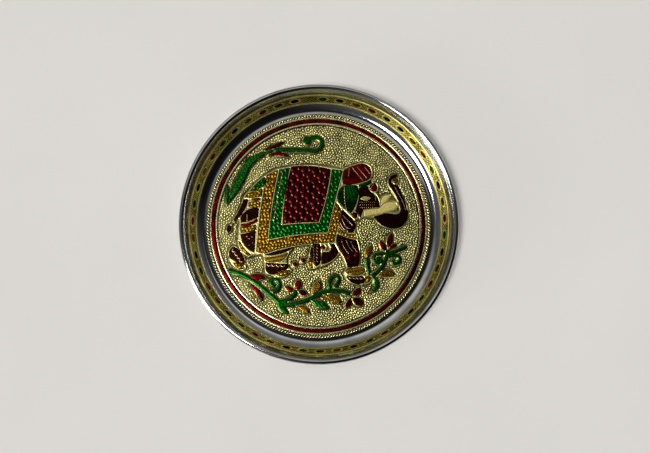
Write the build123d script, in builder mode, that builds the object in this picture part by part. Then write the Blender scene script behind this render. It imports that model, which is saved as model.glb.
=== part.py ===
import os
from math import acos, ceil, cos, degrees, radians, sin

from build123d import *

os.makedirs("parts", exist_ok=True)

# Steel plate: flat floor, rounded corner, slanted wall, edge rolled outwards into a bead
plate_diameter = 220.0
floor_diameter = 186.4
steel_thickness = 0.8
corner_radius = 6.0
wall_angle = 58.0
bead_radius = 2.4
bead_turn = 200.0
corner_steps = 3
bead_steps = 6

# Gilt medallion on the floor, widths counted inwards from its edge
medallion_clearance = 2.5
sheet_thickness = 0.4
rope_width = 2.4
rope_height = 1.1
outer_line_width = 1.8
ring_width = 3.0
inner_line_width = 2.1
line_height = 0.8
ring_rise = 0.5
ring_clearance = 0.05

# Embossed figure, drawn below and fitted to the field of the medallion
relief_height = 0.7
enamel_rise = 0.5
flower_rise = 0.25
gold_margin = 0.9
tip_reach = 1.8
step_bow = 0.12
ground_bow = 0.35

# Gilt band on the wall
band_inset = 0.2
band_clearance = 0.15
band_width = 8.9
band_thickness = 0.25
band_seam_angle = 94.5
band_seam_gap = 0.3

# Enamel dashes of the band, in a repeating order of four colours
dash_count = 46
dash_length = 6.6
dash_width = 3.2
dash_rise = 0.35
dash_clearance = 0.01
dash_seam_angle = 12.8
dash_colours = ("blue", "green", "red", "amber")

# Heights and radii that follow from the sizes above
plate_radius = plate_diameter / 2
floor_radius = floor_diameter / 2
turn_run = (corner_radius + bead_radius) * sin(radians(wall_angle))
wall_run = plate_radius - bead_radius - floor_radius - turn_run
wall_length = wall_run / cos(radians(wall_angle))
medallion_radius = floor_radius - medallion_clearance
rope_inner = medallion_radius - rope_width
ring_outer = rope_inner - outer_line_width
ring_inner = ring_outer - ring_width
field_radius = ring_inner - inner_line_width
field_top = steel_thickness + sheet_thickness
figure_top = field_top + relief_height
figure_scale = 1.0

# Points of the plate's section: along the wall, off its inner face
wall_along = Vector(cos(radians(wall_angle)), sin(radians(wall_angle)))
wall_out = Vector(sin(radians(wall_angle)), -cos(radians(wall_angle)))
corner_centre = Vector(floor_radius, steel_thickness + corner_radius)
wall_foot = corner_centre + wall_out * corner_radius
wall_head = wall_foot + wall_along * wall_length
bead_centre = wall_head + wall_out * bead_radius


def on_wall(along, off):
    return wall_foot + wall_along * along - wall_out * off


def on_bead(turned, radius):
    angle = radians(90 + wall_angle - turned)
    return bead_centre + Vector(cos(angle), sin(angle)) * radius


def on_corner(turned, radius):
    angle = radians(turned - 90)
    return corner_centre + Vector(cos(angle), sin(angle)) * radius


def placed(point):
    return Vector(point[0], point[1]) * figure_scale


def beside(head, side):
    return Vector(head.Y, -head.X) * side


def step_shares(arc, grow):
    # Shares of an arc's length, for straight steps that stay near it, nearer on enamel than on its ground
    bow = ground_bow if grow else step_bow
    step_turn = 2 * acos(1 - min(bow / arc.radius, 0.1))
    steps = ceil(arc.length / arc.radius / step_turn)
    return [step / steps for step in range(1, steps + 1)]


def spread(points, grow):
    # The same closed outline moved outwards, mitred and kept short at sharp tips
    ahead = points[1:] + points[:1]
    area = sum(a.X * b.Y - b.X * a.Y for a, b in zip(points, ahead))
    side = 1 if area > 0 else -1
    heads = [(b - a).normalized() for a, b in zip(points, ahead)]
    moved = []
    for point, before, after in zip(points, heads[-1:] + heads[:-1], heads):
        lean = beside(before, side) + beside(after, side)
        reach = min(2 / max(lean.length, 0.1), tip_reach)
        moved.append(point + lean.normalized() * grow * reach)
    return moved


def fill(points):
    make_face(Wire.make_polygon(points, close=True).edges())


def patch(grow, start, *runs):
    # Runs go on from each other: one point ends a straight edge, two are the middle and end of an arc
    points = [placed(start)]
    for run in runs:
        marks = [placed(point) for point in run]
        if len(marks) == 1:
            points.append(marks[0])
        else:
            arc = Edge.make_three_point_arc(points[-1], *marks)
            points.extend(arc @ share for share in step_shares(arc, grow))
    points.pop()
    fill(spread(points, grow * figure_scale) if grow else points)


def leaf(grow, root, left, tip, right):
    patch(grow, root, [left, tip], [right, root])


def bead(grow, centre, radius):
    with Locations(placed(centre)):
        RegularPolygon((radius + grow) * figure_scale, 10)


def stem(grow, width, heading, *points):
    # A stroke of one width with pointed ends, along arcs that run smoothly into each other
    half = (width / 2 + grow) * figure_scale
    places = [placed(point) for point in points]
    head = Vector(cos(radians(heading)), sin(radians(heading)))
    tail = places[0] - head * half
    right = [places[0] + beside(head, half)]
    left = [places[0] - beside(head, half)]
    for start, end in zip(places, places[1:]):
        arc = Edge.make_tangent_arc(start, head, end)
        for share in step_shares(arc, grow):
            right.append(arc @ share + beside(arc % share, half))
            left.append(arc @ share - beside(arc % share, half))
        head = arc % 1
    tip = places[-1] + head * half
    fill([tail, *right, tip, *reversed(left)])


# Elephant: saddle cloth
def draw_quilt(grow=0):
    patch(
        grow,
        (-22, 48.5),
        [(-8, 49), (10, 46.3)],
        [(5.6, 22), (0, 3.4)],
        [(-14, 2.9), (-28.8, 1.7)],
        [(-27.6, 22), (-22, 48.5)],
    )


def draw_saddle_border(grow=0):
    patch(
        grow,
        (-31.4, 46),
        [(-37.2, 17), (-40.5, -10.7)],
        [(-17, -6.7), (7.3, -5)],
        [(13, 19.4), (19.8, 45.3)],
        [(11.4, 46.3)],
        [(6.9, 22.5), (0.9, 2.3)],
        [(-15, 1.9), (-31, 0.6)],
        [(-27.8, 25.5), (-23.4, 47.6)],
        [(-31.4, 46)],
    )


def draw_fringe(grow=0):
    patch(
        grow,
        (-33.2, 45.6),
        [(-38.4, 17.4), (-41.7, -12)],
        [(-17, -7.9), (8.3, -6.2)],
        [(10.9, 7), (14.5, 19.6)],
        [(18.4, 13.4)],
        [(15.9, -0.4), (12.9, -13.2)],
        [(-14, -15.2), (-45, -22)],
        [(-50.4, -21)],
        [(-47.3, 10), (-42, 41.5)],
        [(-33.2, 45.6)],
    )


# Elephant: rump, from the back down to the thigh
def draw_rump_scallop(grow=0):
    patch(
        grow,
        (-55.6, 28.6),
        [(-50.4, 34.6), (-43.9, 40)],
        [(-43.4, 36.4), (-44.8, 32.9)],
        [(-50, 30.2), (-55.6, 28.6)],
    )


def draw_rump_bands(grow=0):
    patch(
        grow,
        (-59.6, 23.6),
        [(-57.6, 26.6)],
        [(-52, 28.4), (-45.9, 30.6)],
        [(-46.4, 24.6)],
        [(-53, 23.4), (-59.6, 23.6)],
    )
    patch(
        grow,
        (-56.5, 19.4),
        [(-52, 20.1), (-47.6, 20)],
        [(-48, 15.6)],
        [(-52.4, 15.2), (-56.8, 16)],
        [(-56.5, 19.4)],
    )
    patch(
        grow,
        (-63.4, -1.4),
        [(-57, -0.2), (-51, 1.2)],
        [(-50.9, -2.6)],
        [(-56.6, -4.5), (-63.2, -5.2)],
        [(-63.4, -1.4)],
    )


def draw_rump_stripes(grow=0):
    patch(grow, (-54, 22.3), [(-47.5, 22.9)], [(-47.6, 21)], [(-54, 21.1)], [(-54, 22.3)])
    patch(
        grow,
        (-63.2, 1.4),
        [(-56.4, 2.8), (-50, 6.2)],
        [(-50, 3.8)],
        [(-56, 0.9), (-63, -0.2)],
        [(-63.2, 1.4)],
    )


def draw_haunch(grow=0):
    patch(
        grow,
        (-63, 3.2),
        [(-63, 7.4)],
        [(-57.6, 13), (-49, 14.2)],
        [(-49.6, 7.6)],
        [(-56, 4.6), (-63, 3.2)],
    )
    patch(
        grow,
        (-63.3, -7),
        [(-57, -5.8), (-51.6, -4)],
        [(-52.4, -21.3)],
        [(-59.6, -16.2), (-63.3, -7)],
    )


def draw_tail(grow=0):
    patch(
        grow,
        (-57.4, 21.7),
        [(-61.2, 12.4), (-68.4, 3.8)],
        [(-69.4, 4.8)],
        [(-64.6, 13.2), (-60.8, 21.9)],
        [(-57.4, 21.7)],
    )
    leaf(grow, (-72.3, 0.8), (-71.3, -2.2), (-74.1, -5.5), (-74.9, -2))


# Elephant: hind legs
def draw_thigh_arc(grow=0):
    patch(
        grow,
        (-65.2, -12.2),
        [(-64, -12.9)],
        [(-60.6, -18.2), (-55.4, -23)],
        [(-57.4, -24.3)],
        [(-62.4, -19.4), (-65.2, -12.2)],
    )


def draw_hind_feet(grow=0):
    leaf(grow, (-43.6, -23.4), (-32, -20.2), (-20.4, -17.3), (-31, -22.4))
    patch(
        grow,
        (-42.6, -30.3),
        [(-35, -30.7), (-27.2, -31.2)],
        [(-24.7, -33), (-26.6, -35.2)],
        [(-31, -36.4), (-34.6, -38.6)],
        [(-40.4, -38.6), (-42.8, -35.4)],
        [(-42.6, -30.3)],
    )
    patch(
        grow,
        (-69.2, -17),
        [(-63.4, -21.7), (-60.4, -31.6)],
        [(-66.4, -29.4), (-72.4, -25.4)],
        [(-72.2, -19.8), (-69.2, -17)],
    )


def draw_hind_anklet(grow=0):
    patch(
        grow,
        (-43.4, -28),
        [(-43.5, -25.4)],
        [(-34, -24.9), (-25, -21.7)],
        [(-28.2, -26.7), (-33, -29)],
        [(-38.4, -29.3), (-43.4, -28)],
    )


def draw_hind_toes(grow=0):
    patch(
        grow,
        (-34, -39.6),
        [(-31, -37.6)],
        [(-25.4, -36)],
        [(-22.8, -36.4)],
        [(-24.6, -38.8)],
        [(-31, -40.6)],
        [(-34, -39.6)],
    )
    patch(
        grow,
        (-69.3, -30.2),
        [(-66.4, -30.2)],
        [(-61.4, -32.4)],
        [(-60.4, -34)],
        [(-63, -35.1)],
        [(-66.8, -33.8)],
        [(-69.3, -30.2)],
    )


# Elephant: head
def draw_cap(grow=0):
    patch(
        grow,
        (20.6, 45.2),
        [(27.6, 48.7), (35.4, 50.6)],
        [(42.4, 46.4), (40.7, 38)],
        [(31, 34.8), (20.4, 34)],
        [(19.8, 39.6), (20.6, 45.2)],
    )


def draw_strap(grow=0):
    patch(
        grow,
        (33.4, 33.6),
        [(42.8, 37.4)],
        [(43.4, 35.2)],
        [(38.8, 32.8), (33.6, 31.8)],
        [(33.4, 33.6)],
    )


def draw_ear(grow=0):
    patch(
        grow,
        (20.6, 32.6),
        [(26, 33.2), (31.9, 32.7)],
        [(31.4, 20.4), (26.4, 10.4)],
        [(20.6, 15), (16.2, 20.8)],
        [(16.4, 27.4), (20.6, 32.6)],
    )


def draw_face(grow=0):
    patch(
        grow,
        (33.2, 30.7),
        [(40.6, 32.3)],
        [(42, 28.4), (45.4, 26.4)],
        [(48.8, 21.4), (49.7, 15.7)],
        [(43.7, 14.8), (36.5, 13.6)],
        [(34.6, 7.2)],
        [(30.4, 12)],
        [(32.8, 21), (33.2, 30.7)],
    )


def draw_eye(grow=0):
    leaf(grow, (33.6, 22.2), (38.2, 24.2), (42.8, 22.6), (38.2, 20.6))


def draw_brow(grow=0):
    patch(
        grow,
        (42.4, 32.6),
        [(44, 34.4)],
        [(46.4, 35)],
        [(47.7, 32)],
        [(47.3, 28.8)],
        [(44.2, 28.6)],
        [(42.4, 30.2)],
        [(42.4, 32.6)],
    )


def draw_tusks(grow=0):
    patch(
        grow,
        (36.8, 12.6),
        [(43, 13.8), (49.6, 14.8)],
        [(55, 18.8), (61.4, 19.4)],
        [(63.9, 17), (61.6, 13.6)],
        [(49.4, 9.6), (36.6, 8.2)],
        [(36.8, 12.6)],
    )
    patch(
        grow,
        (51.2, 21.4),
        [(54.4, 24.9), (58.6, 24.9)],
        [(55.6, 20.4), (50.9, 16.9)],
        [(51.2, 21.4)],
    )


def draw_trunk(grow=0):
    patch(
        grow,
        (45.6, 7.2),
        [(51.4, 1.2), (60.2, -1.7)],
        [(69.6, 2), (72.7, 11.4)],
        [(69.6, 21.4), (63.4, 33.2)],
        [(59.9, 33.9)],
        [(59.8, 38.4), (63.8, 40.3)],
        [(63.6, 41.9)],
        [(57.9, 38.6), (58.6, 32)],
        [(64.4, 22.6), (67.7, 14.4)],
        [(66.5, 10.6), (61, 9.6)],
        [(56, 10.2)],
        [(51, 8.9), (45.6, 7.2)],
    )


def draw_trunk_tip(grow=0):
    bead(grow, (62.9, 37.2), 2.3)


def draw_chest(grow=0):
    patch(
        grow,
        (19.8, 13.2),
        [(25, 8.2), (29, 4.4)],
        [(29.9, -0.2), (28.4, -5.2)],
        [(21.4, -4), (17.3, 0.8)],
        [(17.9, 7.2), (19.8, 13.2)],
    )


def draw_tassel(grow=0):
    patch(
        grow,
        (27, 9.6),
        [(29.2, 11)],
        [(31.2, 10.2)],
        [(31.6, 7.8)],
        [(30.4, 6.2)],
        [(28.4, 7.2)],
        [(27, 9.6)],
    )


def draw_drops(grow=0):
    bead(grow, (3.9, -17.3), 1.7)
    bead(grow, (-19.2, -31.4), 1.8)
    bead(grow, (-12.7, -28), 1.8)


def draw_necklace(grow=0):
    patch(
        grow,
        (16.8, -1.4),
        [(22.4, -5.8), (30.6, -6.8)],
        [(31.3, -10.2)],
        [(22.8, -8.6), (15.8, -5)],
        [(16.8, -1.4)],
    )


# Elephant: forelegs
def draw_foreleg(grow=0):
    patch(
        grow,
        (15.6, -6.6),
        [(22.6, -9.8), (30.8, -11.8)],
        [(33.2, -22), (32.4, -32.6)],
        [(23.9, -33.6)],
        [(21.6, -26.6), (17, -18.2)],
        [(15, -12.6), (15.6, -6.6)],
    )


def draw_bent_leg(grow=0):
    patch(
        grow,
        (-4.2, -14.9),
        [(-6.5, -23)],
        [(-4.6, -28.6), (-1.8, -32.6)],
        [(0.6, -31)],
        [(1.7, -23), (1, -14.8)],
        [(-4.2, -14.9)],
    )
    patch(
        grow,
        (3.3, -21.6),
        [(8.6, -21.6)],
        [(10.7, -18.6), (9.4, -14.7)],
        [(13, -14.9)],
        [(16.4, -21.4)],
        [(10.4, -28.2), (2.8, -31)],
        [(2.6, -26.4), (3.3, -21.6)],
    )


def draw_front_foot(grow=0):
    patch(
        grow,
        (22.6, -41.2),
        [(29, -41.5), (36, -41)],
        [(37.6, -43.6), (37, -46.3)],
        [(27.2, -46), (22.6, -41.2)],
    )


def draw_knee_flowers(grow=0):
    bead(grow, (24.6, -25.6), 2)
    bead(grow, (30.6, -23.4), 2)


def draw_front_anklet(grow=0):
    patch(
        grow,
        (22.2, -37.4),
        [(24.4, -35), (29, -34.6)],
        [(33, -33.9), (37, -33.8)],
        [(38, -36), (36.4, -38.6)],
        [(28.6, -40), (22.2, -37.4)],
    )


def draw_front_toes(grow=0):
    patch(
        grow,
        (38.6, -46.4),
        [(38.6, -42.4)],
        [(41, -40.9)],
        [(42.9, -42)],
        [(41.6, -45.2)],
        [(38.6, -46.4)],
    )
    patch(
        grow,
        (-4.4, -34.3),
        [(-6, -34)],
        [(-8.1, -31)],
        [(-8, -27.6)],
        [(-6.9, -25.8)],
        [(-5.4, -29.4)],
        [(-4.4, -34.3)],
    )


# Vine above the back
def draw_top_leaves(grow=0):
    patch(
        grow,
        (-57.3, 54.6),
        [(-66.6, 39.2), (-72.6, 24)],
        [(-74.6, 17.6)],
        [(-62.6, 34.6), (-55.6, 48.8)],
        [(-47.5, 56.2), (-37.6, 60.6)],
        [(-37.6, 62.1)],
        [(-47.4, 58.6), (-57.3, 54.6)],
    )
    leaf(grow, (-75.6, 18.6), (-76.2, 26), (-74.9, 33.8), (-73.6, 26))


def draw_top_stem(grow=0):
    stem(grow, 2.3, 1, (-35, 62.2), (-4.6, 61.2), (2.5, 66.4), (-2.2, 72.2), (-7.4, 71.2))
    bead(grow, (-9.5, 69.8), 2.9)


def draw_top_red(grow=0):
    leaf(grow, (-43.4, 62), (-36.2, 66.2), (-28.4, 68.4), (-35.6, 64.2))
    leaf(grow, (-41, 57.6), (-32.5, 60.1), (-24.5, 57), (-32.5, 57.7))


# Vine below the feet
def draw_bottom_stems(grow=0):
    stem(
        grow,
        2.4,
        -12,
        (-72.6, -36.6),
        (-50, -47.4),
        (-33.4, -61.2),
        (-27.5, -63.8),
        (-14, -62.2),
        (0, -56),
        (13, -52.9),
        (24.6, -55.4),
    )
    stem(grow, 2.2, 5, (-31.5, -62), (-24, -59.5), (-18.6, -53.6))
    leaf(grow, (-33.6, -61.6), (-28.2, -66), (-24.6, -71.8), (-31.8, -67.8))
    stem(
        grow,
        2.0,
        0,
        (-37.4, -53.2),
        (-32.1, -48.4),
        (-35.6, -43.4),
        (-38.9, -46.6),
        (-36.6, -48.7),
    )
    stem(grow, 2.0, 100, (9, -50.6), (9.2, -45), (12.9, -41.2), (16.3, -45), (13.6, -49.2))


def draw_bottom_green(grow=0):
    leaf(grow, (-4.6, -61.6), (3.2, -62.3), (8.4, -67.2), (0.2, -66.4))


def draw_bottom_red(grow=0):
    leaf(grow, (-56, -41.4), (-49.6, -39.4), (-43.8, -42), (-50.2, -43.8))
    leaf(grow, (-55.4, -47.9), (-48.6, -52.2), (-45.6, -61.2), (-51.2, -54.6))
    leaf(grow, (-17.4, -51.6), (-19.3, -48), (-16, -44.5), (-14.2, -48.2))
    leaf(grow, (-21.2, -53.6), (-24.9, -52.7), (-27.3, -49.9), (-22.9, -50.2))
    leaf(grow, (-16.2, -53.8), (-12.8, -52.6), (-9.7, -55.8), (-13.6, -56.4))
    leaf(grow, (27.6, -55.7), (29.8, -52.6), (33.3, -50.6), (32.8, -55.6))
    leaf(grow, (28, -59.8), (33.4, -59.2), (36.2, -64.4), (30.2, -63.8))
    leaf(grow, (25.8, -59.4), (26.6, -63.6), (22, -66.6), (23.2, -62.4))


def draw_bottom_amber(grow=0):
    leaf(grow, (-4.9, -55.4), (-3.9, -48.6), (1, -44.3), (1.3, -51.2))
    leaf(grow, (-17, -65.9), (-11, -66.2), (-7.7, -71.7), (-13.6, -69.2))
    leaf(grow, (5, -57), (13.2, -57), (18.4, -63), (10.6, -60.9))


# Sprig in front of the feet
def draw_sprig_stems(grow=0):
    stem(grow, 2.0, 22, (44, -40), (51, -34.6), (55, -26.4), (56.6, -20.6))
    stem(grow, 2.0, 17, (55.8, -23.2), (64, -20.4), (71.2, -17.4))
    stem(grow, 1.7, -88, (39.4, -26.8), (41.3, -38.6))
    stem(grow, 1.8, 12, (57.2, -24.6), (64, -24.6), (66.2, -27.6), (63, -30.8), (60.4, -29))
    stem(grow, 1.7, 190, (53.4, -22.6), (48.2, -23.1), (45, -26.6), (48.4, -30.2), (51.3, -27.2))
    leaf(grow, (46.9, -28.3), (47.4, -26.2), (50.2, -25.4), (49.6, -27.6))


def draw_sprig_leaf(grow=0):
    leaf(grow, (44.4, -42.2), (48.8, -47), (43, -53.4), (45.7, -47.4))


def draw_sprig_red(grow=0):
    leaf(grow, (55, -20), (51.2, -17.6), (50.1, -12.4), (54.4, -15.6))
    leaf(grow, (56.8, -17.4), (56.2, -11.2), (59.6, -6.4), (60.1, -12.6))
    leaf(grow, (58, -18.2), (60, -15.9), (63.3, -15), (61.4, -17.6))


def draw_sprig_amber(grow=0):
    leaf(grow, (39.6, -25.6), (38.6, -20), (42.8, -16), (42.8, -21.8))
    leaf(grow, (49.6, -40.6), (55.6, -36.2), (62.2, -40), (55.6, -41.6))


# Gold ground that stands up under the elephant and shows around every enamel cell
def draw_body_ground():
    patch(
        0,
        (-62.3, 23),
        [(-51, 36.3), (-36, 46.8)],
        [(-9, 50.5), (20.6, 46.8)],
        [(24, 20)],
        [(13.8, -14.2)],
        [(-14, -16.2), (-45.6, -23.2)],
        [(-57.4, -25.4)],
        [(-63.6, -20), (-66.4, -12)],
        [(-65.4, 4), (-62.3, 23)],
    )


def draw_leg_ground():
    patch(
        0,
        (-47, -20),
        [(-45, -27), (-44.2, -34)],
        [(-43, -38.8), (-38.6, -40.4)],
        [(-28, -41.8), (-21.4, -36.2)],
        [(-25.4, -29.6), (-22.4, -21)],
        [(-19, -15)],
        [(-47, -20)],
    )
    patch(
        0,
        (-69.4, -15.6),
        [(-62.4, -21.2), (-59.2, -31)],
        [(-59.3, -35), (-63, -36)],
        [(-69.4, -33.2), (-73.4, -25)],
        [(-73.2, -18.8), (-69.4, -15.6)],
    )
    patch(
        0,
        (-5, -13),
        [(-8.2, -22), (-9.2, -29)],
        [(-8.2, -33.8), (-3.8, -35.2)],
        [(8, -31.4), (17.6, -22.2)],
        [(20.8, -27.6), (22.8, -33.8)],
        [(20.8, -37.4), (21.8, -41)],
        [(26.4, -46.8), (34, -47.9)],
        [(42.2, -46.6), (43.8, -41.2)],
        [(38.8, -38.6)],
        [(38.8, -34.2), (33.6, -32.6)],
        [(34.2, -20), (31.8, -6.4)],
        [(30.4, -2), (31, 3)],
        [(14, 14)],
        [(-5, -13)],
    )


def draw_head_ground():
    patch(
        0,
        (19, 46.6),
        [(27.6, 50), (36, 51.8)],
        [(43.8, 47.4), (42.4, 38.6)],
        [(44.8, 36.8)],
        [(49, 33.4), (48.4, 27.4)],
        [(50.4, 23.6)],
        [(54.8, 26.2), (60, 25.8)],
        [(62.4, 21.6), (67, 17.5)],
        [(67.4, 9)],
        [(50, 6), (36, 7.2)],
        [(34.6, 5.6)],
        [(24, 2)],
        [(16, 16)],
        [(14.8, 24), (18.4, 32)],
        [(19, 46.6)],
    )


def draw_tail_ground():
    patch(0, (-67.4, 7.2), [(-66.2, 6.2)], [(-72.2, -1.6)], [(-73.4, -0.8)], [(-67.4, 7.2)])


enamel_drawings = {
    "saddle_quilt_enamel": (draw_quilt,),
    "saddle_border_enamel": (draw_saddle_border,),
    "saddle_fringe_enamel": (draw_fringe,),
    "rump_scallop_enamel": (draw_rump_scallop,),
    "rump_band_enamel": (draw_rump_bands, draw_thigh_arc),
    "rump_stripe_enamel": (draw_rump_stripes,),
    "haunch_enamel": (draw_haunch,),
    "tail_enamel": (draw_tail,),
    "anklet_enamel": (draw_hind_anklet, draw_front_anklet),
    "foot_enamel": (draw_hind_feet, draw_front_foot),
    "toe_enamel": (draw_hind_toes, draw_front_toes),
    "head_cap_enamel": (draw_cap,),
    "head_strap_enamel": (draw_strap,),
    "ear_enamel": (draw_ear,),
    "face_enamel": (draw_face,),
    "brow_enamel": (draw_brow,),
    "tusk_enamel": (draw_tusks,),
    "trunk_enamel": (draw_trunk,),
    "trunk_tip_enamel": (draw_trunk_tip,),
    "chest_enamel": (draw_chest,),
    "necklace_enamel": (draw_necklace,),
    "foreleg_enamel": (draw_foreleg, draw_bent_leg),
    "drop_enamel": (draw_tassel, draw_drops),
    "vine_stem_enamel": (draw_top_stem, draw_bottom_stems, draw_sprig_stems),
    "vine_leaf_enamel": (draw_top_leaves, draw_bottom_green, draw_sprig_leaf),
    "vine_red_enamel": (draw_top_red, draw_bottom_red, draw_sprig_red),
    "vine_amber_enamel": (draw_bottom_amber, draw_sprig_amber),
}

# Drawings whose gold ground is a plain margin around them
margin_drawings = (
    draw_tail,
    draw_drops,
    draw_trunk,
    draw_trunk_tip,
    draw_top_leaves,
    draw_top_stem,
    draw_top_red,
    draw_bottom_stems,
    draw_bottom_green,
    draw_bottom_red,
    draw_bottom_amber,
    draw_sprig_stems,
    draw_sprig_leaf,
    draw_sprig_red,
    draw_sprig_amber,
)

# The drawing's own reach from the middle, measured once so that it just fills the field
with BuildSketch() as whole_drawing:
    for drawings in enamel_drawings.values():
        for drawing in drawings:
            drawing()
figure_scale = field_radius / max(Vector(*corner).length for corner in whole_drawing.vertices())

with BuildPart() as steel_plate:
    under_radius = corner_radius + steel_thickness
    bead_drop = bead_radius * sin(radians(bead_turn))
    bead_joint = wall_head + wall_out * steel_thickness + wall_along * bead_drop
    corner_turns = [wall_angle * step / corner_steps for step in range(corner_steps + 1)]
    bead_turns = [bead_turn * step / bead_steps for step in range(bead_steps + 1)]
    with BuildSketch(Plane.XZ):
        with BuildLine():
            Polyline(
                (0, 0),
                *[on_corner(turned, under_radius) for turned in corner_turns],
                bead_joint,
                *[on_bead(turned, bead_radius) for turned in reversed(bead_turns)],
                *[on_corner(turned, corner_radius) for turned in reversed(corner_turns)],
                (0, steel_thickness),
                close=True,
            )
        make_face()
    revolve(axis=Axis.Z)
steel_plate.part.label = "steel_plate"
export_step(steel_plate.part, "parts/steel_plate.step")

with BuildPart() as medallion_sheet:
    rope_top = field_top + rope_height
    line_top = field_top + line_height
    with BuildSketch(Plane.XZ):
        with BuildLine():
            Polyline(
                (0, steel_thickness),
                (medallion_radius, steel_thickness),
                (medallion_radius - rope_width / 4, rope_top),
                (rope_inner + rope_width / 4, rope_top),
                (rope_inner, field_top),
                (rope_inner - outer_line_width / 2, line_top),
                (ring_outer, field_top),
                (ring_inner, field_top),
                (ring_inner - inner_line_width / 2, line_top),
                (field_radius, field_top),
                (0, field_top),
                close=True,
            )
        make_face()
    revolve(axis=Axis.Z)
    with BuildSketch(Plane.XY.offset(field_top)) as ground:
        draw_body_ground()
        draw_leg_ground()
        draw_head_ground()
        draw_tail_ground()
        for drawing in margin_drawings:
            drawing(gold_margin)
    extrude(amount=relief_height)
medallion_sheet.part.label = "medallion_sheet"
export_step(medallion_sheet.part, "parts/medallion_sheet.step")

with BuildPart() as border_ring_enamel:
    with BuildSketch(Plane.XZ):
        with BuildLine():
            Polyline(
                (ring_outer - ring_clearance, field_top),
                (ring_outer - ring_rise, field_top + ring_rise),
                (ring_inner + ring_rise, field_top + ring_rise),
                (ring_inner + ring_clearance, field_top),
                close=True,
            )
        make_face()
    revolve(axis=Axis.Z)
border_ring_enamel.part.label = "border_ring_enamel"
export_step(border_ring_enamel.part, "parts/border_ring_enamel.step")

with BuildPart() as rim_band:
    band_high = band_inset + band_width
    band_top = band_clearance + band_thickness
    seam_turn = degrees(band_seam_gap / on_wall(band_high, 0).X)
    with BuildSketch(Plane.XZ.rotated((0, 0, band_seam_angle + seam_turn / 2))):
        with BuildLine():
            Polyline(
                on_wall(band_inset, band_clearance),
                on_wall(band_high, band_clearance),
                on_wall(band_high, band_top),
                on_wall(band_inset, band_top),
                close=True,
            )
        make_face()
    revolve(axis=Axis.Z, revolution_arc=360 - seam_turn)
rim_band.part.label = "rim_band"
export_step(rim_band.part, "parts/rim_band.step")

dash_seat = on_wall(band_inset + band_width / 2, band_top)
dash_bow = dash_length**2 / 8 * sin(radians(wall_angle)) / dash_seat.X
dash_seat = dash_seat - wall_out * (dash_bow + dash_clearance)
dash_pitch = (360 - dash_seam_angle) / (dash_count - 1)
dash_shoulder = dash_length * 0.22
dash_outline = [
    (-dash_length / 2, 0),
    (-dash_shoulder, -dash_width / 2),
    (dash_shoulder, -dash_width / 2),
    (dash_length / 2, 0),
    (dash_shoulder, dash_width / 2),
    (-dash_shoulder, dash_width / 2),
]


def dash_plane(turn):
    across = Vector(cos(radians(turn)), sin(radians(turn)))
    return Plane(
        origin=(across.X * dash_seat.X, across.Y * dash_seat.X, dash_seat.Y),
        x_dir=(-across.Y, across.X, 0),
        z_dir=(-across.X * wall_out.X, -across.Y * wall_out.X, -wall_out.Y),
    )


for colour_index, colour in enumerate(dash_colours):
    with BuildPart() as dash_enamel:
        for index in range(colour_index, dash_count, len(dash_colours)):
            turn = band_seam_angle + dash_seam_angle / 2 + index * dash_pitch
            with BuildSketch(dash_plane(turn)):
                Polygon(*dash_outline)
        extrude(amount=dash_rise)
    dash_enamel.part.label = f"band_{colour}_enamel"
    export_step(dash_enamel.part, f"parts/band_{colour}_enamel.step")

for label, drawings in enamel_drawings.items():
    with BuildPart() as enamel:
        with BuildSketch(Plane.XY.offset(figure_top)):
            for drawing in drawings:
                drawing()
        extrude(amount=enamel_rise)
    enamel.part.label = label
    export_step(enamel.part, f"parts/{label}.step")

with BuildPart() as knee_flower_enamel:
    with BuildSketch(Plane.XY.offset(figure_top + enamel_rise)):
        draw_knee_flowers()
    extrude(amount=flower_rise)
knee_flower_enamel.part.label = "knee_flower_enamel"
export_step(knee_flower_enamel.part, "parts/knee_flower_enamel.step")

with BuildPart() as eye_boss:
    with BuildSketch(Plane.XY.offset(figure_top + enamel_rise)):
        draw_eye()
    extrude(amount=flower_rise)
eye_boss.part.label = "eye_boss"
export_step(eye_boss.part, "parts/eye_boss.step")
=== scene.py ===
import math
import random

import bpy
import numpy as np
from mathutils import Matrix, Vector, kdtree
from mathutils.geometry import delaunay_2d_cdt


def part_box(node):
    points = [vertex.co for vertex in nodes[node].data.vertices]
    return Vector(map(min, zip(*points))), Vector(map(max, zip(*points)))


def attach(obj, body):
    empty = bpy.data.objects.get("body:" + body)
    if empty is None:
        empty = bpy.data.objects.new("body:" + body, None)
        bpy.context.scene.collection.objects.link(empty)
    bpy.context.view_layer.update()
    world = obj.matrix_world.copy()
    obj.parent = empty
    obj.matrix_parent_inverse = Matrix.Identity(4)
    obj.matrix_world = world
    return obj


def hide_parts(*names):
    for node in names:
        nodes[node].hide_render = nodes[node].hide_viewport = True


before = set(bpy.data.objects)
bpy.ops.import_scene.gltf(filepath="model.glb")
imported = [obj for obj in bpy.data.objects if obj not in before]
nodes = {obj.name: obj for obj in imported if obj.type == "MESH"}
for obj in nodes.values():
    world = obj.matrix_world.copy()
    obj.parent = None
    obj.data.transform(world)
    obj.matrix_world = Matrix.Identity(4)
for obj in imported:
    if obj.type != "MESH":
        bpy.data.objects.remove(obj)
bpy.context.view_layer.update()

mm = 0.001
fullTurn = 2 * math.pi
tiny = 1e-9    # keeps divisions clear of zero
neighbours = [(i, j) for i in (-1, 0, 1) for j in (-1, 0, 1)]
chance = random.Random(28)


# A dictionary whose values can also be read by name
class Look(dict):
    __getattr__ = dict.__getitem__


# Colours are written as they look in the photograph, 0 to 255
def srgb(red, green, blue):
    def linear(part):
        share = part / 255
        return share / 12.92 if share <= 0.04045 else ((share + 0.055) / 1.055) ** 2.4
    return (linear(red), linear(green), linear(blue), 1.0)


def lowest(node):
    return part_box(node)[0][2] / mm


def highest(node):
    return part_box(node)[1][2] / mm


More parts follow.
